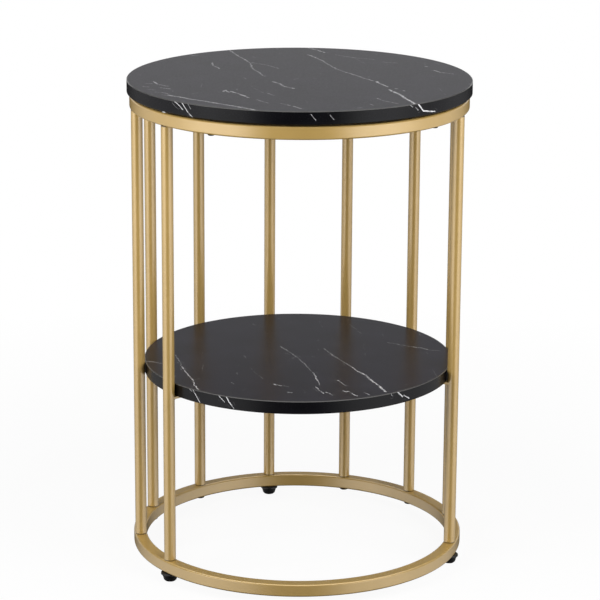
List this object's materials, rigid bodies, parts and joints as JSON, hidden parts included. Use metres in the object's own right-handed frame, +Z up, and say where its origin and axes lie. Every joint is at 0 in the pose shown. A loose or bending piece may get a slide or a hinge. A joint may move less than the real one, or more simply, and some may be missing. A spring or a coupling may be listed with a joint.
{
  "type": "tiered side table",
  "caption": "Round two-tier side table: dark marble-look boards in a satin gold ring-and-pole frame, open at the front, on levelling feet.",
  "frame": {"origin": "on the floor, under the centre of the round top", "axes": "+Z up, -Y towards the open front of the frame, +X to the right seen from the front"},
  "size_m": [0.3999, 0.4002, 0.575],
  "materials": {
    "marble_board": "chipboard faced with a satin black marble print",
    "marble_edge_band": "satin black marble-print edge strip",
    "gold_frame": "satin champagne gold powder coat on steel",
    "zinc_fastener": "bright zinc plate",
    "black_fastener": "black oxide",
    "black_foot": "moulded black plastic"
  },
  "bodies": {
    "table_frame": {"bottom_ring": "gold_frame", "foot_plugs": "zinc_fastener", "lower_pole_plugs": "zinc_fastener", "lower_pole_screws": "black_fastener", "pole_1": "gold_frame", "pole_2": "gold_frame", "pole_3": "gold_frame", "pole_4": "gold_frame", "pole_5": "gold_frame", "pole_6": "gold_frame", "pole_7": "gold_frame", "pole_8": "gold_frame", "pole_9": "gold_frame", "shelf_board": "marble_board", "shelf_edge_band": "marble_edge_band", "shelf_nuts": "zinc_fastener", "shelf_screws": "black_fastener", "shelf_tab_1": "gold_frame", "shelf_tab_2": "gold_frame", "shelf_tab_3": "gold_frame", "top_board": "marble_board", "top_board_nuts": "zinc_fastener", "top_board_screws": "black_fastener", "top_edge_band": "marble_edge_band", "top_ring": "gold_frame", "upper_pole_plugs": "zinc_fastener", "upper_pole_screws": "zinc_fastener"},
    "foot_1_stud": {"foot_stud_1": "zinc_fastener"},
    "foot_1": {"foot_pad_1": "black_foot"},
    "foot_2_stud": {"foot_stud_2": "zinc_fastener"},
    "foot_2": {"foot_pad_2": "black_foot"},
    "foot_3_stud": {"foot_stud_3": "zinc_fastener"},
    "foot_3": {"foot_pad_3": "black_foot"}
  },
  "joints": [
    {"name": "foot_1_travel", "type": "slide", "parent": "table_frame", "child": "foot_1_stud", "axis": [0, 0, -1], "range_m": [0, 0.008]},
    {"name": "foot_1_turn", "type": "hinge", "parent": "foot_1_stud", "child": "foot_1", "pos_m": [0.16794, -0.08779, 0], "axis": [0, 0, -1], "range_deg": [0, 2880]},
    {"name": "foot_2_travel", "type": "slide", "parent": "table_frame", "child": "foot_2_stud", "axis": [0, 0, -1], "range_m": [0, 0.008]},
    {"name": "foot_2_turn", "type": "hinge", "parent": "foot_2_stud", "child": "foot_2", "pos_m": [0, 0.1895, 0], "axis": [0, 0, -1], "range_deg": [0, 2880]},
    {"name": "foot_3_travel", "type": "slide", "parent": "table_frame", "child": "foot_3_stud", "axis": [0, 0, -1], "range_m": [0, 0.008]},
    {"name": "foot_3_turn", "type": "hinge", "parent": "foot_3_stud", "child": "foot_3", "pos_m": [-0.16794, -0.08779, 0], "axis": [0, 0, -1], "range_deg": [0, 2880]}
  ],
  "couplings": [
    {"joint": "foot_1_turn", "follows": "foot_1_travel", "rad_per_m": 6283.2},
    {"joint": "foot_2_turn", "follows": "foot_2_travel", "rad_per_m": 6283.2},
    {"joint": "foot_3_turn", "follows": "foot_3_travel", "rad_per_m": 6283.2}
  ]
}
